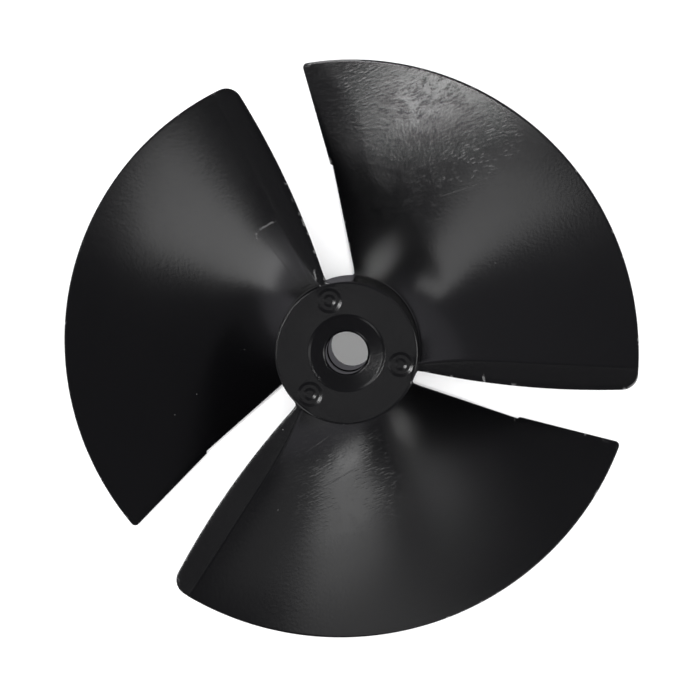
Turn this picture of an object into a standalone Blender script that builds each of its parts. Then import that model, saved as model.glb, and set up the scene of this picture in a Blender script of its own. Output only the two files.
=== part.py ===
"""Three-bladed impeller of a pool cleaner, moulded in one piece of black plastic.

The hub is a straight barrel with a plain bore for the motor shaft. It is cored out from behind,
so that its walls stay thin. Three wide blades wind round it and fall from its front face to its
rear face. The origin is the centre of the rear face, and +Z runs along the shaft to the front.
"""

import math

import bmesh
import bpy

# Sizes of the whole, in metres
RIM_RADIUS = 0.055
HUB_RADIUS = 0.0135
HUB_LENGTH = 0.028
BORE_RADIUS = 0.004

# The hub's front: a dished recess round the bore, and a small bevel at the rim
RECESS_RADIUS = 0.0074
RECESS_WALL = 0.0004
RECESS_DEPTH = 0.0007
BORE_CHAMFER = 0.0004
HUB_BEVEL = 0.0004

# The hub's back: a boss round the bore, a ring-shaped pocket and the ribs that cross it
BOSS_RADIUS = 0.007
HUB_WALL = 0.0025
FRONT_WALL = 0.0035
RIB_COUNT = 6
RIB_THICKNESS = 0.0015
RIB_SET_BACK = 0.001

# Three gate marks on the front face: a shallow round dimple with a sloping wall
GATE_CIRCLE = 0.0104
GATE_TURN = -8.9
GATE_RADIUS = 0.0024
GATE_FLOOR_RADIUS = 0.0010
GATE_DEPTH = 0.0004

# The blades: their directions are in degrees from the crease behind the leading edge
BLADE_COUNT = 3
FIRST_CREASE = 117.2
BLADE_FRONT = HUB_LENGTH - 0.0001
BLADE_REAR = 0.0004
ROOT_THICKNESS = 0.0024
TIP_THICKNESS = 0.0018
EDGE_THICKNESS = 0.0009
CAMBER = 0.52

# The leading edge: a facet that is widest at LEAD_MIDDLE, narrower in a bow to both ends
LEAD_WIDTH = 0.00475
LEAD_MIDDLE = 0.040
LEAD_BOW = 3.17
LEAD_SLOPE = 0.1
LEAD_CORNER = 0.0026
CREASE_SWEEP = 0.0013
SWEEP_END = 0.028

# The trailing edge: two straight runs that pass the shaft at a distance, with a small step between
STEP_RADIUS = 0.035
INNER_RUN = (104.4, 0.0033)
OUTER_RUN = (108.8, 0.0056)
STEP_WIDTH = 0.0003
TRAIL_CORNER = 0.0010

# The fillets where a blade meets the barrel, seen from the side and from the front
ROOT_FILLET = 0.0012
PLAN_FILLET = 0.0008

# How finely the shapes are divided
HUB_SIDES = 48
GATE_SIDES = 20
FILLET_BAYS = 3
INNER_BAYS = 6
OUTER_BAYS = 4
CORNER_BAYS = 3
FACET_CELLS = 2
SLOPE_CELLS = 18

MERGE_DISTANCE = 0.00001


def clear_scene():
    for thing in list(bpy.data.objects):
        bpy.data.objects.remove(thing, do_unlink=True)


def collection(name):
    made = bpy.data.collections.new(name)
    bpy.context.scene.collection.children.link(made)
    return made


def black_plastic():
    material = bpy.data.materials.new("black_plastic")
    material.use_nodes = True
    shader = material.node_tree.nodes["Principled BSDF"]
    shader.inputs["Base Color"].default_value = (0.012, 0.012, 0.013, 1)
    shader.inputs["Roughness"].default_value = 0.42
    shader.inputs["Metallic"].default_value = 0
    return material


def helper(thing):
    """A shape that is only joined to the part or cut from it."""
    thing.hide_render = True
    thing.display_type = "WIRE"
    return thing


def mesh_object(name, build, holder):
    mesh = bpy.data.meshes.new(name)
    build.to_mesh(mesh)
    build.free()
    made = bpy.data.objects.new(name, mesh)
    holder.objects.link(made)
    return made


def hub(name, holder):
    """The turned body of the hub, from its closed half section."""
    pocket_radius = HUB_RADIUS - HUB_WALL
    pocket_top = HUB_LENGTH - FRONT_WALL
    dish_top = HUB_LENGTH - RECESS_WALL
    dish_bottom = HUB_LENGTH - RECESS_DEPTH
    section = [
        (HUB_RADIUS, HUB_LENGTH - HUB_BEVEL),
        (HUB_RADIUS, 0),
        (pocket_radius, 0),
        (pocket_radius, pocket_top),
        (BOSS_RADIUS, pocket_top),
        (BOSS_RADIUS, 0),
        (BORE_RADIUS, 0),
        (BORE_RADIUS, dish_bottom - BORE_CHAMFER),
        (BORE_RADIUS + BORE_CHAMFER, dish_bottom),
        (RECESS_RADIUS - RECESS_WALL, dish_top),
        (RECESS_RADIUS, HUB_LENGTH),
        (HUB_RADIUS - HUB_BEVEL, HUB_LENGTH),
    ]
    build = bmesh.new()
    corners = [build.verts.new((radius, 0, height)) for radius, height in section]
    for corner, following in zip(corners, corners[1:] + corners[:1]):
        build.edges.new((corner, following))
    made = mesh_object(name, build, holder)
    screw = made.modifiers.new("turned", "SCREW")
    screw.axis = "Z"
    screw.steps = HUB_SIDES
    screw.render_steps = HUB_SIDES
    screw.use_merge_vertices = True
    screw.merge_threshold = MERGE_DISTANCE
    return made


def rib(name, turn, holder):
    """One wall between the boss and the barrel, let into both of them and into the front wall."""
    overlap = HUB_WALL / 4
    inner = BOSS_RADIUS - overlap
    outer = HUB_RADIUS - HUB_WALL + overlap
    top = HUB_LENGTH - FRONT_WALL + overlap
    build = bmesh.new()
    bmesh.ops.create_cube(build, size=1)
    for corner in build.verts:
        corner.co.x = inner if corner.co.x < 0 else outer
        corner.co.y *= RIB_THICKNESS
        corner.co.z = RIB_SET_BACK if corner.co.z < 0 else top
    made = helper(mesh_object(name, build, holder))
    made.rotation_euler.z = math.radians(turn)
    return made


def dimple(name, turn, holder):
    """A blunt cone, half of it above the front face, where it is GATE_RADIUS wide."""
    build = bmesh.new()
    bmesh.ops.create_cone(build, cap_ends=True, segments=GATE_SIDES, radius1=GATE_FLOOR_RADIUS,
                          radius2=2 * GATE_RADIUS - GATE_FLOOR_RADIUS, depth=2 * GATE_DEPTH)
    made = helper(mesh_object(name, build, holder))
    angle = math.radians(turn)
    made.location = (GATE_CIRCLE * math.cos(angle), GATE_CIRCLE * math.sin(angle), HUB_LENGTH)
    return made


def corner_cut(radius, size):
    """How far an edge draws back at this radius, so that the tip ends in a round of this size."""
    into = min(max(radius - (RIM_RADIUS - size), 0), size)
    return size - math.sqrt(size * size - into * into)


def root_round(radius, size):
    """How much a fillet of this size adds at this radius, just outside the barrel."""
    part = min(max((radius - HUB_RADIUS) / size, 0), 1)
    return size * (1 - math.sqrt(1 - (1 - part) ** 2))


def leading_angle(radius):
    """The outer edge of the leading facet, in radians from the crease's direction."""
    width = LEAD_WIDTH - LEAD_BOW * (radius - LEAD_MIDDLE) ** 2 - corner_cut(radius, LEAD_CORNER)
    return -math.asin((width + root_round(radius, PLAN_FILLET)) / radius)


def crease_angle(radius):
    """The crease is radial, and sweeps forward near the hub."""
    part = max(SWEEP_END - radius, 0) / (SWEEP_END - HUB_RADIUS)
    return -math.asin(CREASE_SWEEP * part * part / radius)


def run_angle(run, radius):
    """A straight line that would pass the shaft at a distance."""
    direction, distance = run
    return math.radians(direction) - math.asin(distance / radius)


def trailing_angle(radius):
    """The trailing edge: one straight run inside the step and another outside it."""
    extra = root_round(radius, PLAN_FILLET) - corner_cut(radius, TRAIL_CORNER)
    return run_angle(INNER_RUN if radius < STEP_RADIUS else OUTER_RUN, radius) + extra / radius


def evenly(start, end, cells):
    return [start + (end - start) * cell / cells for cell in range(cells + 1)]


def blade_radii():
    """The radii of the blade's sections: inside the hub's wall, up its fillet, then out to the rim."""
    step_in = STEP_RADIUS - STEP_WIDTH / 2
    step_out = STEP_RADIUS + STEP_WIDTH / 2
    tip = RIM_RADIUS - LEAD_CORNER
    quarter = math.pi / 2
    fillet = [HUB_RADIUS + ROOT_FILLET * (1 - math.cos(turn)) for turn in evenly(0, quarter, FILLET_BAYS)]
    inner = evenly(fillet[-1], step_in, INNER_BAYS)[1:]
    outer = evenly(step_out, tip, OUTER_BAYS)[:-1]
    rounded = [tip + LEAD_CORNER * math.sin(turn) for turn in evenly(0, quarter, CORNER_BAYS)]
    return [HUB_RADIUS - HUB_WALL / 2] + fillet + inner + outer + rounded


def section_angles(radius):
    """The directions of one section's corners, from the leading edge to the trailing edge."""
    facet = evenly(leading_angle(radius), crease_angle(radius), FACET_CELLS)
    return facet[:-1] + evenly(crease_angle(radius), trailing_angle(radius), SLOPE_CELLS)


def blade_heights(radius, angle):
    """Under and upper height of the blade at one radius and direction."""
    wind = run_angle(INNER_RUN, radius) - crease_angle(radius)
    fall = BLADE_FRONT - BLADE_REAR - EDGE_THICKNESS
    outward = (radius - HUB_RADIUS) / (RIM_RADIUS - HUB_RADIUS)
    wall = ROOT_THICKNESS + (TIP_THICKNESS - ROOT_THICKNESS) * outward
    behind = angle - crease_angle(radius)
    part = max(behind / wind, 0)
    slope = fall * (1 + CAMBER * (1 - 2 * part)) / (wind * radius)
    if behind < 0:
        upper = BLADE_FRONT + LEAD_SLOPE * radius * behind
        under = BLADE_FRONT - slope * radius * behind - wall * math.hypot(1, slope)
        under = min(under, upper - EDGE_THICKNESS)
    else:
        upper = BLADE_FRONT - fall * (part + CAMBER * part * (1 - part))
        under = upper - wall * math.hypot(1, slope)
    fillet = root_round(radius, ROOT_FILLET)
    return max(under - fillet, BLADE_REAR), min(upper + fillet, BLADE_FRONT)


def blade(name, turn, holder):
    """A flat grid lifted to a slab, then every corner is set on the blade's two curved faces."""
    radii = blade_radii()
    sections = [section_angles(radius) for radius in radii]
    bays = len(radii) - 1
    cells = FACET_CELLS + SLOPE_CELLS
    build = bmesh.new()
    bmesh.ops.create_grid(build, x_segments=bays, y_segments=cells, size=1)
    lifted = bmesh.ops.extrude_face_region(build, geom=list(build.faces))
    upper_corners = {part for part in lifted["geom"] if isinstance(part, bmesh.types.BMVert)}
    for corner in build.verts:
        section = round((corner.co.x + 1) / 2 * bays)
        radius = radii[section]
        angle = sections[section][round((corner.co.y + 1) / 2 * cells)]
        under, upper = blade_heights(radius, angle)
        height = upper if corner in upper_corners else under
        angle += math.radians(turn)
        corner.co = (radius * math.cos(angle), radius * math.sin(angle), height)
    bmesh.ops.triangulate(build, faces=list(build.faces))
    bmesh.ops.recalc_face_normals(build, faces=list(build.faces))
    return helper(mesh_object(name, build, holder))


def combine(body, operation, shapes):
    boolean = body.modifiers.new(operation.lower(), "BOOLEAN")
    boolean.operation = operation
    boolean.operand_type = "COLLECTION"
    boolean.collection = shapes
    boolean.solver = "EXACT"


def main():
    clear_scene()
    parts = collection("pool_cleaner_impeller")
    dimples = collection("cutters")
    joined = collection("joined_shapes")
    impeller = hub("impeller", parts)
    impeller.data.materials.append(black_plastic())
    for index in range(RIB_COUNT):
        rib(f"rib_{index + 1}", index * 360 / RIB_COUNT, joined)
    for index in range(BLADE_COUNT):
        turn = FIRST_CREASE - index * 360 / BLADE_COUNT
        blade(f"blade_{index + 1}", turn, joined)
        dimple(f"dimple_{index + 1}", turn + GATE_TURN, dimples)
    combine(impeller, "UNION", joined)
    combine(impeller, "DIFFERENCE", dimples)
    impeller.data.shade_smooth()
    impeller.data.set_sharp_from_angle(angle=math.radians(30))


main()
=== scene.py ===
"""Looks of the one-piece black impeller of a pool cleaner, lying on a pale studio floor.

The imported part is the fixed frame. One finer moulding stands for it: the same hub and blades, with
rounded edges, root fillets, gate marks and a ringed bore, in scuffed satin black plastic. Lengths are
in metres, the shaft runs along Z, and the front face is up.
"""

import math

import bmesh
import bpy
from mathutils import Matrix, Vector


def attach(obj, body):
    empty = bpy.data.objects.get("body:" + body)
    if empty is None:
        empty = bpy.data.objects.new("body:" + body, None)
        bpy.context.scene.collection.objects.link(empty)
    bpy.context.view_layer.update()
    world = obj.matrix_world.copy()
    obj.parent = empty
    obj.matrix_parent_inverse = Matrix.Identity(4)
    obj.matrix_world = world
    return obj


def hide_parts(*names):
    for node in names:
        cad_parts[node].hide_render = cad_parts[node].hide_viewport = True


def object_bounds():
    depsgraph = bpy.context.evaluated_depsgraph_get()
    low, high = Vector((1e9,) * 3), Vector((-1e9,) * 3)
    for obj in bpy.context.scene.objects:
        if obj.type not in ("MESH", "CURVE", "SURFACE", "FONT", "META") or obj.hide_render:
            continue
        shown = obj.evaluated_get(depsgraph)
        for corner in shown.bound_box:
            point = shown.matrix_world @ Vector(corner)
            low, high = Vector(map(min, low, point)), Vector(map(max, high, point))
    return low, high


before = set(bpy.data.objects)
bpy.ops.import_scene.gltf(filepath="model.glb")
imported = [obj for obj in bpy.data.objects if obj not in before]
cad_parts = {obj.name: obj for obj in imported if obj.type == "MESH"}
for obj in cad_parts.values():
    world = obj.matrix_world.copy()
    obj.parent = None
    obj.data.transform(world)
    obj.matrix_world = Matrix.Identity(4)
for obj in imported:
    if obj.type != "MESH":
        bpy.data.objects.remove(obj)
cad_low, cad_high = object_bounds()

# The hub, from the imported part's box and the part's own sizes
HUB_LENGTH = cad_high.z
HUB_RADIUS = 0.0135
HUB_BEVEL = 0.0004
HUB_WALL = 0.0025
FRONT_WALL = 0.0035
BOSS_RADIUS = 0.007
BORE_RADIUS = 0.004
RECESS_RADIUS = 0.0073
RECESS_WALL = (0.0005, 0.0002)
RECESS_DEPTH = 0.0005
RECESS_EDGE = 0.0006
BORE_LIP = 0.0004
LIP_ROUND = 0.0003
BORE_GROOVE_DEPTH = 0.0002
BORE_GROOVE_FROM = 0.006
BORE_GROOVE_TO = 0.013
SMALL_ROUND = 0.0003
RIB_COUNT = 6
RIB_THICKNESS = 0.0015
RIB_SET_BACK = 0.001

# The gate marks on the hub's front: two flat steps with sloping walls, by outer radius, floor radius
# and depth
GATE_CIRCLE = 0.0104
GATE_TURN = math.radians(-8.9)
GATE_STEPS = ((0.0024, 0.0018, 0.00014), (0.0018, 0.0007, 0.00026))
GATE_REACH = 0.0027

# The blades. Directions are counted from the crease behind the leading edge, and each straight run
# of the trailing edge has a direction and passes the shaft at a distance
BLADE_COUNT = 3
FIRST_CREASE = math.radians(117.2)
RIM_RADIUS = 0.055
BLADE_FRONT = HUB_LENGTH - 0.0001
BLADE_REAR = 0.0004
ROOT_THICKNESS = 0.0024
TIP_THICKNESS = 0.0018
EDGE_THICKNESS = 0.0009
CAMBER = 0.52
LEAD_WIDTH = 0.00475
LEAD_MIDDLE = 0.040
LEAD_BOW = 3.17
LEAD_SLOPE = 0.05
LEAD_CORNER = 0.0026
CREASE_SWEEP = 0.0013
SWEEP_END = 0.028
STEP_RADIUS = 0.035
INNER_RUN = (math.radians(104.4), 0.0033)
OUTER_RUN = (math.radians(108.8), 0.0056)
STEP_WIDTH = 0.0003
TRAIL_CORNER = 0.0010
ROOT_FILLET = 0.0004
PLAN_FILLET = 0.0008
EDGE_ROUND = 0.0002
CREASE_ROUND = 0.0003

# How finely the moulding is divided
HUB_SIDES = 160
ARC_STEPS = 4
FACET_CELLS = 4
SLOPE_CELLS = 72
INNER_BAYS = 18
OUTER_BAYS = 16
CORNER_BAYS = 6
ROUND_PARTS = (0, 0.3, 1)
BEND_PARTS = (-1, -0.5, 0, 0.5, 1)
GATE_SIDES = 48
MERGE = 0.000002
SMOOTH_ANGLE = math.radians(32)

# The plastic. Places on it are in metres, on the front view's X and Y. The pair in a ramp gives the
# values at which a mask starts and is full
BLACK = (0.0010, 0.0010, 0.0012, 1)
PALE_GREY = (0.17, 0.17, 0.17, 1)
BASE_ROUGHNESS = 0.155
PALE_ROUGHNESS = 0.3
FRONT_RAMP = (0.05, 0.3)

# Walls along the shaft are dull
WALL_COLOUR = (0.014, 0.014, 0.014, 1)
WALL_RAMP = (0.3, 0.1)
WALL_DULLNESS = 0.7

# Moulding grain, ripples and smudges
GRAIN_SCALE = 1700
GRAIN_HEIGHT = 0.000014
RIPPLE_SCALE = 130
RIPPLE_HEIGHT = 0.000014
SMUDGE_SCALE = 65
SMUDGE_ROUGHNESS = 0.10

# Rubbed areas by middle, radius and strength, and the two sets of strokes on them by turn, stretch,
# scale and size
RUBBED = {
    "upper_blade": ((0.0140, 0.0405), 0.025, 0.9),
    "lower_blade": ((0.0005, -0.0240), 0.017, 1),
    "left_blade": ((-0.0250, 0.0260), 0.015, 0.3),
    "hub_face": ((0.0078, -0.0016), 0.003, 1),
}
RUB_SCALE = 390
RUB_RAMP = (0.3, 0.65)
RUB_STROKES = (math.radians(23), 4.5, 1750, 0.32)
CROSS_STROKES = (math.radians(-48), 2.2, 1650, 0.27)
CROSS_SHARE = 0.7
RUB_HEIGHT = 0.000014
RUB_ROUGHNESS = 0.03
RUB_PALENESS = 0.04

# The strip along the upper blade's rear edge that no rubbing has reached
SMOOTH_SPOT = ((-0.0010, 0.0440), 0.024)
SMOOTH_EDGES = (((0.0050, 0.0280), (0.0009, 0.0470)), ((0.0009, 0.0470), (-0.0062, 0.0540)))
SMOOTH_BLEND = 0.0013
SMOOTH_GLOSS = 0.05

# The raised smooth patch beside the left blade's crease
PATCH_LINE = ((-0.0165, 0.0224), (-0.0090, 0.0125))
PATCH_TOP = ((-0.0173, 0.0227), (-0.0129, 0.0252))
PATCH_STEP = 0.00002
PATCH_BLEND = 0.00015
PATCH_INNER = 0.0147
PATCH_ROUGHNESS = 0.05

# Scratches and pale scuffs, each from its start to its end
SCRATCHES = [
    ((0.0169, 0.0411), (0.0285, 0.0453)),
    ((0.0175, 0.0400), (0.0262, 0.0436)),
    ((0.0200, 0.0375), (0.0331, 0.0420)),
    ((0.0160, 0.0286), (0.0267, 0.0320)),
    ((-0.0066, -0.0232), (-0.0012, -0.0200)),
    ((-0.0048, -0.0262), (0.0020, -0.0222)),
    ((-0.0079, -0.0190), (-0.0030, -0.0158)),
]
SCRATCH_WIDTH = 0.00013
SCRATCH_DEPTH = 0.000018
SCRATCH_PALENESS = 0.05
SCUFFS = [
    ((0.0262, -0.0061), (0.0256, -0.0036)),
    PATCH_TOP,
    ((-0.0173, 0.0227), (-0.0170, 0.0210)),
    ((-0.0062, 0.0160), (-0.0057, 0.0133)),
]
SCUFF_WIDTH = 0.00026
SCUFF_PALENESS = 0.4
FLECK_SCALE = 1500
FLECK_RAMP = (0.3, 0.5)

# Dust specks, in drifts
SPECK_SCALE = 260
SPECK_SIZE = 0.042
DRIFT_RAMP = (0.55, 0.6)
DUST_PALENESS = 0.35

# Pale mould flash, and painted glints, on sharp edges outside the hub's face: in spots, and at two
# blade tips by middle and radius
FULL_BEND = math.radians(40)
BEND_RAMP = (0.3, 0.8)
FLASH_GLINT_SCALE = 520
FLASH_GLINT_RAMP = (0.62, 0.7)
FLASH_GLINT_INNER = 0.012
TIP_FLASH_AND_GLINTS = (((-0.0035, 0.0545), 0.006), ((0.0542, -0.0056), 0.002))
FLASH_AND_GLINT_PALENESS = 0.6

# The photograph is seen from almost straight in front
VIEW_TARGET = Vector((0.0001, -0.0002, HUB_LENGTH / 2))
VIEW_DISTANCE = 1.15
VIEW_LEAN = Vector((0.040, 0.058, 1))
VIEW_WIDTH = 0.1334
SENSOR_WIDTH = 36

# The soft boxes: azimuth, degrees off the vertical, width and height in degrees, and light. The
# blades cast no shadow from the second set, so its light reaches their roots
LAMP_DISTANCE = 6
SOFTBOXES = {
    "right_main": (-3, 67, 22, 28, 0.41),
    "right_low": (5, 82, 20, 12, 0.17),
    "right_inner": (-6, 47, 18, 14, 0.10),
    "right_inmost": (-9, 32, 16, 18, 0.065),
    "right_wide": (-11, 66, 44, 44, 0.20),
    "left_back": (138.5, 60, 18, 52, 0.55),
    "left_front": (229, 72, 22, 54, 0.84),
    "left_high": (164.5, 25, 8.5, 6, 0.42),
    "zenith": (235, 4, 6, 6, 0.010),
}
SHADOWLESS = {
    "left_middle": (175, 68, 16, 18, 0.21),
    "right_back": (40, 66, 12, 17, 0.12),
    "right_faint": (31, 46, 11, 26, 0.055),
    "right_soft": (28, 36, 24, 24, 0.05),
    "left_fill": (190, 62, 80, 56, 0.09),
}
TOP_LIGHT = (55, 4, 60, 60, 6.5)

# The sky, lighter towards the back, the ground below it, and the floor
SKY_COLOUR = (0.98, 0.96, 1.05, 1)
SKY_LIGHT = 0.13
BACK_LIGHT = 0.13
BACK_WAY = (-0.26, 0.97)
BACK_RAMP = (0.3, 0.95)
GROUND_LIGHT = 0.45
GROUND_RAMP = (0.05, -0.05)
FLOOR_SIZE = 8
FLOOR_COLOUR = (0.86, 0.86, 0.86, 1)
FLOOR_ROUGHNESS = 0.9
FLOOR_GLOW = 0.13


def deselect():
    bpy.ops.object.select_all(action="DESELECT")


def activate(thing):
    deselect()
    thing.select_set(True)
    bpy.context.view_layer.objects.active = thing


def apply_modifier(thing, kind, **settings):
    """Adds one modifier to a piece and applies it at once."""
    modifier = thing.modifiers.new(kind.lower(), kind)
    for name, value in settings.items():
        setattr(modifier, name, value)
    activate(thing)
    bpy.ops.object.modifier_apply(modifier=modifier.name)


def settle(thing):
    """Puts the place and turn of a piece into its mesh."""
    activate(thing)
    bpy.ops.object.transform_apply(location=True, rotation=True, scale=True)


def rounded(corners):
    """The outline with each corner (radius, height, round) replaced by an arc of that size."""
    points = []
    count = len(corners)
    for index, (radius, height, size) in enumerate(corners):
        here = Vector((radius, height))
        if not size:
            points.append(here)
            continue
        before = (Vector(corners[index - 1][:2]) - here).normalized()
        after = (Vector(corners[(index + 1) % count][:2]) - here).normalized()
        half = before.angle(after) / 2
        reach = size / math.tan(half)
        middle = here + (before + after).normalized() * size / math.sin(half)
        start = here + before * reach - middle
        end = here + after * reach - middle
        turn = start.angle_signed(end)
        for step in range(ARC_STEPS + 1):
            angle = -turn * step / ARC_STEPS
            cos, sin = math.cos(angle), math.sin(angle)
            swung = Vector((start.x * cos - start.y * sin, start.x * sin + start.y * cos))
            points.append(middle + swung)
    return points


def turned(name, corners, sides):
    """A closed ring: its outline is drawn by extruding a point, then spun round the shaft."""
    outline = rounded(corners)
    deselect()
    first = Vector((outline[0].x, 0, outline[0].y))
    bpy.ops.mesh.primitive_plane_add(size=BORE_RADIUS, location=first)
    made = bpy.context.object
    made.name = name
    settle(made)
    bpy.ops.object.mode_set(mode="EDIT")
    bpy.ops.mesh.select_all(action="SELECT")
    bpy.ops.mesh.merge(type="CENTER")
    for here, following in zip(outline, outline[1:]):
        move = (following.x - here.x, 0, following.y - here.y)
        bpy.ops.mesh.extrude_region_move(TRANSFORM_OT_translate={"value": move})
    bpy.ops.object.mode_set(mode="OBJECT")
    ends = (0, len(made.data.vertices) - 1)
    for vertex in made.data.vertices:
        vertex.select = vertex.index in ends
    bpy.ops.object.mode_set(mode="EDIT")
    bpy.ops.mesh.edge_face_add()
    bpy.ops.mesh.select_all(action="SELECT")
    bpy.ops.mesh.spin(steps=sides, angle=math.tau, center=(0, 0, 0), axis=(0, 0, 1))
    bpy.ops.mesh.select_all(action="SELECT")
    bpy.ops.mesh.remove_doubles(threshold=MERGE)
    bpy.ops.mesh.normals_make_consistent(inside=False)
    bpy.ops.object.mode_set(mode="OBJECT")
    return made


def make_hub():
    """The barrel, cored out from behind, with its dished recess and ringed bore."""
    pocket = HUB_RADIUS - HUB_WALL
    pocket_top = HUB_LENGTH - FRONT_WALL
    dish = HUB_LENGTH - RECESS_DEPTH
    groove = BORE_RADIUS + BORE_GROOVE_DEPTH
    return turned("hub", [
        (HUB_RADIUS, HUB_LENGTH, HUB_BEVEL),
        (HUB_RADIUS, 0, SMALL_ROUND),
        (pocket, 0, SMALL_ROUND),
        (pocket, pocket_top, SMALL_ROUND),
        (BOSS_RADIUS, pocket_top, SMALL_ROUND),
        (BOSS_RADIUS, 0, SMALL_ROUND),
        (BORE_RADIUS, 0, SMALL_ROUND),
        (BORE_RADIUS, HUB_LENGTH - BORE_GROOVE_TO, 0),
        (groove, HUB_LENGTH - BORE_GROOVE_TO + BORE_GROOVE_DEPTH, 0),
        (groove, HUB_LENGTH - BORE_GROOVE_FROM - BORE_GROOVE_DEPTH, 0),
        (BORE_RADIUS, HUB_LENGTH - BORE_GROOVE_FROM, 0),
        (BORE_RADIUS, dish - BORE_LIP, LIP_ROUND),
        (BORE_RADIUS + BORE_LIP, dish, LIP_ROUND),
        (RECESS_RADIUS - RECESS_WALL[0], HUB_LENGTH - RECESS_WALL[1], RECESS_EDGE),
        (RECESS_RADIUS, HUB_LENGTH, RECESS_EDGE),
    ], HUB_SIDES)


def make_rib(turn):
    """One wall between the boss and the barrel, let into both of them and into the front wall."""
    overlap = HUB_WALL / 4
    inner = BOSS_RADIUS - overlap
    outer = HUB_RADIUS - HUB_WALL + overlap
    top = HUB_LENGTH - FRONT_WALL + overlap
    deselect()
    middle = ((inner + outer) / 2, 0, (RIB_SET_BACK + top) / 2)
    size = (outer - inner, RIB_THICKNESS, top - RIB_SET_BACK)
    bpy.ops.mesh.primitive_cube_add(size=1, location=middle, scale=size)
    rib = bpy.context.object
    rib.name = "rib"
    settle(rib)
    apply_modifier(rib, "BEVEL", width=SMALL_ROUND, segments=2)
    rib.rotation_euler.z = turn
    settle(rib)
    return rib


def gate_place(turn):
    return Vector((GATE_CIRCLE * math.cos(turn), GATE_CIRCLE * math.sin(turn), HUB_LENGTH))


def make_gate_cutter(place, outer, floor, depth):
    """A blunt cone, half of it above the front face, that leaves one step of a gate mark."""
    deselect()
    bpy.ops.mesh.primitive_cone_add(vertices=GATE_SIDES, radius1=floor, radius2=2 * outer - floor,
                                    depth=2 * depth, location=place)
    cutter = bpy.context.object
    cutter.name = "gate_cone"
    settle(cutter)
    return cutter


def keep_crisp(thing, places):
    """Marks the level edges round the gate marks as sharp, so that their low steps still show."""
    for edge in thing.data.edges:
        start, end = (thing.data.vertices[index].co for index in edge.vertices)
        near = min((start - place).length for place in places) < GATE_REACH
        if near and abs(start.z - end.z) < MERGE:
            edge.use_edge_sharp = True


def corner_cut(radius, size):
    """How far an edge draws back at this radius, so that the tip ends in a round of this size."""
    into = min(max(radius - (RIM_RADIUS - size), 0), size)
    return size - math.sqrt(size * size - into * into)


def root_round(radius, size):
    """How much a fillet of this size adds at this radius, just outside the barrel."""
    part = min(max((radius - HUB_RADIUS) / size, 0), 1)
    return size * (1 - math.sqrt(1 - (1 - part) ** 2))


def leading_angle(radius):
    """The outer edge of the leading facet, from the crease's direction."""
    width = LEAD_WIDTH - LEAD_BOW * (radius - LEAD_MIDDLE) ** 2 - corner_cut(radius, LEAD_CORNER)
    return -math.asin((width + root_round(radius, PLAN_FILLET)) / radius)


def crease_angle(radius):
    """The crease is radial, and sweeps forward near the hub."""
    part = max(SWEEP_END - radius, 0) / (SWEEP_END - HUB_RADIUS)
    return -math.asin(CREASE_SWEEP * part * part / radius)


def run_angle(run, radius):
    """A straight line that would pass the shaft at a distance."""
    direction, distance = run
    return direction - math.asin(distance / radius)


def trailing_angle(radius):
    """The trailing edge: one straight run inside the step and another outside it."""
    extra = root_round(radius, PLAN_FILLET) - corner_cut(radius, TRAIL_CORNER)
    return run_angle(INNER_RUN if radius < STEP_RADIUS else OUTER_RUN, radius) + extra / radius


def evenly(start, end, cells):
    return [start + (end - start) * cell / cells for cell in range(cells + 1)]


def section_angles(radius):
    """The directions of one section's points, closer together at the two edges and the crease."""
    rim = [EDGE_ROUND * part / radius for part in ROUND_PARTS]
    lead = [leading_angle(radius) + step for step in rim]
    trail = [trailing_angle(radius) - step for step in reversed(rim)]
    bend = [crease_angle(radius) + CREASE_ROUND * part / radius for part in BEND_PARTS]
    facet = evenly(lead[-1], bend[0], FACET_CELLS)[1:-1]
    slope = evenly(bend[-1], trail[0], SLOPE_CELLS)[1:-1]
    return lead + facet + bend + slope + trail


def blade_heights(radius, angle):
    """Under and upper height of the blade at one radius and direction."""
    wind = run_angle(INNER_RUN, radius) - crease_angle(radius)
    fall = BLADE_FRONT - BLADE_REAR - EDGE_THICKNESS
    outward = (radius - HUB_RADIUS) / (RIM_RADIUS - HUB_RADIUS)
    wall = ROOT_THICKNESS + (TIP_THICKNESS - ROOT_THICKNESS) * outward
    behind = angle - crease_angle(radius)
    part = max(behind / wind, 0)
    slope = fall * (1 + CAMBER * (1 - 2 * part)) / (wind * radius)
    if behind < 0:
        upper = BLADE_FRONT + LEAD_SLOPE * radius * behind
        under = BLADE_FRONT - slope * radius * behind - wall * math.hypot(1, slope)
        under = min(under, upper - EDGE_THICKNESS)
    else:
        upper = BLADE_FRONT - fall * (part + CAMBER * part * (1 - part))
        under = upper - wall * math.hypot(1, slope)
    bend = max(CREASE_ROUND - abs(radius * behind), 0)
    upper -= (LEAD_SLOPE + slope) * bend * bend / (4 * CREASE_ROUND)
    fillet = root_round(radius, ROOT_FILLET)
    upper = min(upper + fillet, BLADE_FRONT)
    under = max(under - fillet, BLADE_REAR)
    inside = min(RIM_RADIUS - radius, radius * (angle - leading_angle(radius)),
                 radius * (trailing_angle(radius) - angle))
    short = min(max(EDGE_ROUND - inside, 0), EDGE_ROUND)
    drop = EDGE_ROUND - math.sqrt(EDGE_ROUND ** 2 - short ** 2)
    return under + drop, upper - drop


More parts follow.
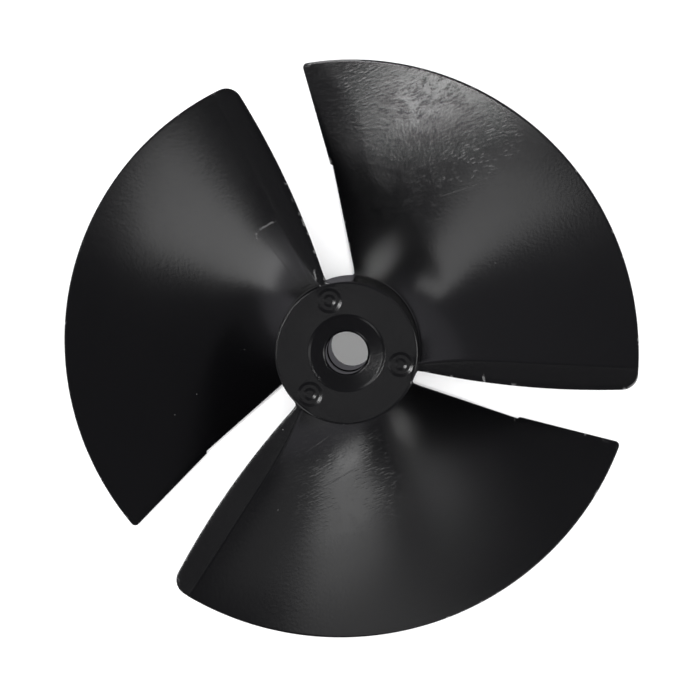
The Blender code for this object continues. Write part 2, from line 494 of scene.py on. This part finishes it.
def blade_radii():
    """The radii of the blade's sections: inside the hub's wall, up its fillet, then out to the tip."""
    step_in = STEP_RADIUS - STEP_WIDTH / 2
    step_out = STEP_RADIUS + STEP_WIDTH / 2
    corner_start = RIM_RADIUS - LEAD_CORNER
    corner_turn = math.asin(1 - EDGE_ROUND / LEAD_CORNER)
    fillet = [HUB_RADIUS + ROOT_FILLET * (1 - math.cos(turn))
              for turn in evenly(0, math.pi / 2, 2 * ARC_STEPS)]
    inner = evenly(fillet[-1], step_in, INNER_BAYS)[1:]
    outer = evenly(step_out, corner_start, OUTER_BAYS)[:-1]
    corner = [corner_start + LEAD_CORNER * math.sin(turn)
              for turn in evenly(0, corner_turn, CORNER_BAYS)[:-1]]
    rim = [RIM_RADIUS - EDGE_ROUND * part for part in reversed(ROUND_PARTS)]
    return [HUB_RADIUS - HUB_WALL / 2] + fillet + inner + outer + corner + rim


def make_blade():
    """A flat grid is extruded to a slab, and every corner is then set on the blade's curved faces."""
    radii = blade_radii()
    sections = [section_angles(radius) for radius in radii]
    bays = len(radii) - 1
    cells = len(sections[0]) - 1
    deselect()
    bpy.ops.mesh.primitive_grid_add(x_subdivisions=bays, y_subdivisions=cells, size=2)
    blade = bpy.context.object
    blade.name = "blade"
    bpy.ops.object.mode_set(mode="EDIT")
    bpy.ops.mesh.select_all(action="SELECT")
    bpy.ops.mesh.extrude_region_move(TRANSFORM_OT_translate={"value": (0, 0, 1)})
    bpy.ops.object.mode_set(mode="OBJECT")
    for corner in blade.data.vertices:
        section = round((corner.co.x + 1) / 2 * bays)
        radius = radii[section]
        angle = sections[section][round((corner.co.y + 1) / 2 * cells)]
        under, upper = blade_heights(radius, angle)
        height = upper if corner.co.z > 0.5 else under
        angle += FIRST_CREASE
        corner.co = (radius * math.cos(angle), radius * math.sin(angle), height)
    activate(blade)
    bpy.ops.object.mode_set(mode="EDIT")
    bpy.ops.mesh.select_all(action="SELECT")
    bpy.ops.mesh.normals_make_consistent(inside=False)
    bpy.ops.object.mode_set(mode="OBJECT")
    return blade


def turned_copy(thing, turn):
    """A copy with its own mesh, swung round the shaft."""
    copy = thing.copy()
    copy.data = thing.data.copy()
    bpy.context.scene.collection.objects.link(copy)
    copy.rotation_euler.z = turn
    settle(copy)
    return copy


def join(body, operation, shapes):
    """Adds the shapes to the body or cuts them out of it, and removes them."""
    for shape in shapes:
        apply_modifier(body, "BOOLEAN", operation=operation, solver="EXACT", object=shape)
    for shape in shapes:
        bpy.data.objects.remove(shape, do_unlink=True)


def mark_edges(thing):
    """Stores how sharply the surface bends outwards at each corner, for the flash and painted glints on
    the edges.
    """
    bends = thing.data.attributes.new("edge_bend", "FLOAT", "POINT")
    shape = bmesh.new()
    shape.from_mesh(thing.data)
    for corner in shape.verts:
        sharpest = max(edge.calc_face_angle_signed(0) for edge in corner.link_edges)
        bends.data[corner.index].value = min(max(sharpest / FULL_BEND, 0), 1)
    shape.free()


def make_moulding():
    """Hub, ribs and blades in one, with the gate marks cut into the front face."""
    hub = make_hub()
    blade = make_blade()
    steps = [-math.tau * index / BLADE_COUNT for index in range(BLADE_COUNT)]
    ribs = [make_rib(math.tau * index / RIB_COUNT) for index in range(RIB_COUNT)]
    blades = [blade] + [turned_copy(blade, step) for step in steps[1:]]
    join(hub, "UNION", ribs + blades)
    gates = [gate_place(FIRST_CREASE + step + GATE_TURN) for step in steps]
    hollows = [make_gate_cutter(gate, *sizes) for gate in gates for sizes in GATE_STEPS]
    join(hub, "DIFFERENCE", hollows)
    hub.name = "impeller_moulding"
    hub.data.name = "impeller_moulding"
    mark_edges(hub)
    activate(hub)
    bpy.ops.object.shade_smooth_by_angle(angle=SMOOTH_ANGLE)
    keep_crisp(hub, gates)
    apply_modifier(hub, "WEIGHTED_NORMAL", keep_sharp=True)
    return hub


class Value:
    """A socket in a material's node tree. Arithmetic on it adds Math nodes."""

    def __init__(self, tree, socket):
        self.tree = tree
        self.socket = socket

    def node(self, kind, settings, sockets, output=0):
        """Adds a node, sets it up, fills its sockets with numbers or links, and gives one output."""
        made = self.tree.nodes.new("ShaderNode" + kind)
        for name, setting in settings.items():
            setattr(made, name, setting)
        for name, value in sockets.items():
            if isinstance(value, Value):
                self.tree.links.new(value.socket, made.inputs[name])
            else:
                made.inputs[name].default_value = value
        return Value(self.tree, made.outputs[output])

    def math(self, operation, *others):
        return self.node("Math", {"operation": operation}, dict(enumerate((self, *others))))

    def __add__(self, other):
        return self.math("ADD", other)

    def __sub__(self, other):
        return self.math("SUBTRACT", other)

    def __rsub__(self, other):
        return self.math("MULTIPLY_ADD", -1, other)

    def __mul__(self, other):
        return self.math("MULTIPLY", other)

    def __abs__(self):
        return self.math("ABSOLUTE")

    __radd__ = __add__
    __rmul__ = __mul__

    def either(self, other):
        """The larger of two masks."""
        return self.math("MAXIMUM", other)

    def rise(self, low, high):
        """0 at low and 1 at high with a smooth ramp between, so it falls where low is the larger."""
        return self.node("MapRange", {"interpolation_type": "SMOOTHSTEP"},
                         {"Value": self, "From Min": low, "From Max": high})

    def dot(self, x, y):
        """How far a place lies along a direction in the front view."""
        return self.node("VectorMath", {"operation": "DOT_PRODUCT"}, {0: self, 1: (x, y, 0)}, "Value")

    def noise(self, scale, detail, roughness=0.5):
        return self.node("TexNoise", {}, {"Vector": self, "Scale": scale, "Detail": detail,
                                          "Roughness": roughness})

    def combed(self, turn, stretch):
        """Coordinates drawn out along one direction, in which noise makes streaks."""
        return self.node("Mapping", {"vector_type": "TEXTURE"},
                         {"Vector": self, "Rotation": (0, 0, turn), "Scale": (stretch, 1, 1)})

    def strokes(self, turn, stretch, scale, size):
        """Short marks in one direction, each one a low mound."""
        return self.node("TexVoronoi", {"voronoi_dimensions": "2D"},
                         {"Vector": self.combed(turn, stretch), "Scale": scale}).rise(size, size / 4)

    def away_squared(self, middle):
        """The square of a place's distance from a point of the front view."""
        away_x = self.dot(1, 0) - middle[0]
        away_y = self.dot(0, 1) - middle[1]
        return away_x * away_x + away_y * away_y

    def within(self, middle, radius):
        """A soft round area of the front view."""
        return self.away_squared(middle).rise(radius * radius, 0)

    def beside(self, line):
        """How far a place lies to the right of a line."""
        start, way, _ = run_of(line)
        return self.dot(way.y, -way.x) - (start.x * way.y - start.y * way.x)

    def along(self, line):
        """How far a place lies along a line from its start."""
        start, way, _ = run_of(line)
        return self.dot(way.x, way.y) - start.dot(way)


def run_of(line):
    """Start, direction and length of a line."""
    start, end = Vector(line[0]), Vector(line[1])
    return start, (end - start).normalized(), (end - start).length


def strongest(masks):
    """The largest of several masks."""
    largest, *others = masks
    for mask in others:
        largest = largest.either(mask)
    return largest


def scratch(place, line, width, waver):
    """One thin line that fades at its ends."""
    _, _, length = run_of(line)
    fade = length / 3
    across = abs(place.beside(line) + waver).rise(width, width / 4)
    along = place.along(line)
    return across * along.rise(0, fade) * along.rise(length, length - fade)


def scratches(place, lines, width):
    """Thin lines that waver by their own width and break up into flecks."""
    waver = (place.noise(FLECK_SCALE, 2) - 0.5) * width * 2
    marks = strongest([scratch(place, line, width, waver) for line in lines])
    return marks * place.noise(FLECK_SCALE, 3).rise(*FLECK_RAMP)


def smooth_strip(place):
    """The part of its spot that lies to the left of both edges."""
    strip = place.within(*SMOOTH_SPOT)
    for line in SMOOTH_EDGES:
        strip = strip * place.beside(line).rise(SMOOTH_BLEND, -SMOOTH_BLEND)
    return strip


def rubbed_areas(place):
    """Areas that handling has rubbed, in patches."""
    areas = strongest([place.within(middle, radius) * strength
                       for middle, radius, strength in RUBBED.values()])
    return areas * place.noise(RUB_SCALE, 3).rise(*RUB_RAMP)


def raised_patch(place):
    """The patch between its line, its top, the crease and the hub."""
    crease = place.dot(math.sin(FIRST_CREASE), -math.cos(FIRST_CREASE))
    return (place.beside(PATCH_LINE).rise(0, -PATCH_BLEND)
            * place.beside(PATCH_TOP).rise(0, PATCH_BLEND)
            * crease.rise(0, -PATCH_BLEND)
            * place.away_squared((0, 0)).rise((PATCH_INNER - PATCH_BLEND) ** 2, PATCH_INNER ** 2))


def dust_specks(place):
    dots = place.node("TexVoronoi", {"feature": "F1"}, {"Vector": place, "Scale": SPECK_SCALE})
    return dots.rise(SPECK_SIZE, SPECK_SIZE / 3) * place.noise(RIPPLE_SCALE, 1).rise(*DRIFT_RAMP)


def flash_and_edge_glints(place):
    """Thin pale plastic left along sharp edges, and painted glints: sharp outward edges painted lighter
    in spots.
    """
    bend = place.node("Attribute", {"attribute_name": "edge_bend"}, {}, "Fac")
    spots = strongest([place.noise(FLASH_GLINT_SCALE, 3).rise(*FLASH_GLINT_RAMP)]
                      + [place.within(middle, radius) for middle, radius in TIP_FLASH_AND_GLINTS])
    outside = place.away_squared((0, 0)).rise(0, FLASH_GLINT_INNER ** 2)
    return bend.rise(*BEND_RAMP) * spots * outside


def black_plastic():
    """Satin black plastic with moulding grain, rubbed areas, scratches, dust, and flash with painted
    glints on the edges.
    """
    material = bpy.data.materials.new("satin_black_plastic")
    material.use_nodes = True
    tree = material.node_tree
    shader = tree.nodes["Principled BSDF"]
    coordinates = tree.nodes.new("ShaderNodeTexCoord")
    place = Value(tree, coordinates.outputs["Object"])
    facing = place.node("SeparateXYZ", {}, {"Vector": Value(tree, coordinates.outputs["Normal"])}, "Z")
    front = facing.rise(*FRONT_RAMP)

    smooth = smooth_strip(place)
    rubbed = rubbed_areas(place) * front * (1 - smooth)
    worn = rubbed * place.strokes(*RUB_STROKES).either(place.strokes(*CROSS_STROKES) * CROSS_SHARE)
    scratched = scratches(place, SCRATCHES, SCRATCH_WIDTH) * front
    scuffed = scratches(place, SCUFFS, SCUFF_WIDTH) * front
    patch = raised_patch(place) * front
    # The pale mix also paints glints on sharp edges, through the flash mask
    pale = strongest([scratched * SCRATCH_PALENESS, dust_specks(place) * DUST_PALENESS,
                      flash_and_edge_glints(place) * FLASH_AND_GLINT_PALENESS, worn * RUB_PALENESS,
                      scuffed * SCUFF_PALENESS])

    colour = place.node("Mix", {"data_type": "RGBA"},
                        {"Factor": pale, "A": BLACK, "B": PALE_GREY}, 2)
    roughness = (BASE_ROUGHNESS
                 + place.noise(SMUDGE_SCALE, 4, 0.6) * SMUDGE_ROUGHNESS
                 + rubbed * RUB_ROUGHNESS
                 + patch * PATCH_ROUGHNESS
                 + pale * PALE_ROUGHNESS
                 - smooth * SMOOTH_GLOSS)
    height = (place.noise(GRAIN_SCALE, 3) * GRAIN_HEIGHT
              + place.noise(RIPPLE_SCALE, 2) * RIPPLE_HEIGHT
              + worn * RUB_HEIGHT
              - scratched * SCRATCH_DEPTH
              + patch * PATCH_STEP)
    normal = place.node("Bump", {}, {"Strength": 1, "Distance": 1, "Height": height})
    for name, value in (("Base Color", colour), ("Roughness", roughness), ("Normal", normal)):
        tree.links.new(value.socket, shader.inputs[name])

    dull = tree.nodes.new("ShaderNodeBsdfDiffuse")
    dull.inputs["Color"].default_value = WALL_COLOUR
    walls = abs(facing).rise(*WALL_RAMP) * WALL_DULLNESS
    mixed = tree.nodes.new("ShaderNodeMixShader")
    tree.links.new(walls.socket, mixed.inputs["Fac"])
    tree.links.new(shader.outputs["BSDF"], mixed.inputs[1])
    tree.links.new(dull.outputs["BSDF"], mixed.inputs[2])
    tree.links.new(mixed.outputs["Shader"], tree.nodes["Material Output"].inputs["Surface"])
    return material


def studio_floor():
    """A matt white floor. The plastic's gloss shows the darker ground of the sky instead of it."""
    material = bpy.data.materials.new("pale_floor")
    material.use_nodes = True
    shader = material.node_tree.nodes["Principled BSDF"]
    shader.inputs["Base Color"].default_value = FLOOR_COLOUR
    shader.inputs["Roughness"].default_value = FLOOR_ROUGHNESS
    shader.inputs["Emission Color"].default_value = (1, 1, 1, 1)
    shader.inputs["Emission Strength"].default_value = FLOOR_GLOW
    deselect()
    bpy.ops.mesh.primitive_plane_add(size=FLOOR_SIZE, location=(0, 0, 0))
    floor = bpy.context.object
    floor.name = "studio_floor"
    floor.data.materials.append(material)
    floor.visible_glossy = False


def put(name, data, place, back, up):
    """Puts a lamp or the camera at a place. It looks against the direction back, its top towards up."""
    made = bpy.data.objects.new(name, data)
    bpy.context.scene.collection.objects.link(made)
    right = up.cross(back).normalized()
    made.rotation_mode = "QUATERNION"
    made.rotation_quaternion = Matrix((right, back.cross(right), back)).transposed().to_quaternion()
    made.location = place
    return made


def softbox(name, azimuth, off_vertical, width, height, light):
    """An area light that looks at the part, placed and sized by angles as the part sees it.

    Azimuth runs counter-clockwise from +X. The light is what falls on a surface that faces the lamp.
    """
    lamp = bpy.data.lights.new(name, "AREA")
    lamp.shape = "RECTANGLE"
    lamp.size = 2 * LAMP_DISTANCE * math.tan(math.radians(width / 2))
    lamp.size_y = 2 * LAMP_DISTANCE * math.tan(math.radians(height / 2))
    lamp.energy = light * math.pi * LAMP_DISTANCE ** 2
    across, lean = math.radians(azimuth), math.radians(off_vertical)
    away = Vector((math.cos(across) * math.sin(lean), math.sin(across) * math.sin(lean),
                   math.cos(lean)))
    made = put(name, lamp, away * LAMP_DISTANCE, away, Vector((0, 0, 1)))
    made.visible_camera = False
    return made


def make_camera():
    """A camera in the photograph's place, with the front view's Y upwards."""
    data = bpy.data.cameras.new("camera")
    data.sensor_width = SENSOR_WIDTH
    data.lens = SENSOR_WIDTH * VIEW_DISTANCE * VIEW_LEAN.length / VIEW_WIDTH
    place = VIEW_TARGET + VIEW_LEAN * VIEW_DISTANCE
    camera = put("camera", data, place, VIEW_LEAN.normalized(), Vector((0, 1, 0)))
    bpy.context.scene.camera = camera


def make_world():
    """A dim sky, lighter towards the back, over a lighter ground."""
    world = bpy.data.worlds.new("studio")
    bpy.context.scene.world = world
    world.use_nodes = True
    tree = world.node_tree
    way = Value(tree, tree.nodes.new("ShaderNodeTexCoord").outputs["Generated"])
    height = way.node("SeparateXYZ", {}, {"Vector": way}, "Z")
    sky = SKY_LIGHT + way.dot(*BACK_WAY).rise(*BACK_RAMP) * BACK_LIGHT
    light = sky.either(height.rise(*GROUND_RAMP) * GROUND_LIGHT)
    tree.links.new(light.socket, tree.nodes["Background"].inputs["Strength"])
    tree.nodes["Background"].inputs["Color"].default_value = SKY_COLOUR


moulding = make_moulding()
moulding.data.materials.clear()
moulding.data.materials.append(black_plastic())
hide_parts("impeller")
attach(moulding, "root")

studio_floor()
for name, values in SOFTBOXES.items():
    softbox(name, *values)
for name, values in SHADOWLESS.items():
    lamp = softbox(name, *values).data
    lamp.use_shadow = False
    lamp.cycles.use_multiple_importance_sampling = False
top = softbox("top_softbox", *TOP_LIGHT)
top.visible_glossy = False
make_world()
make_camera()
bpy.context.scene.view_settings.view_transform = "Standard"
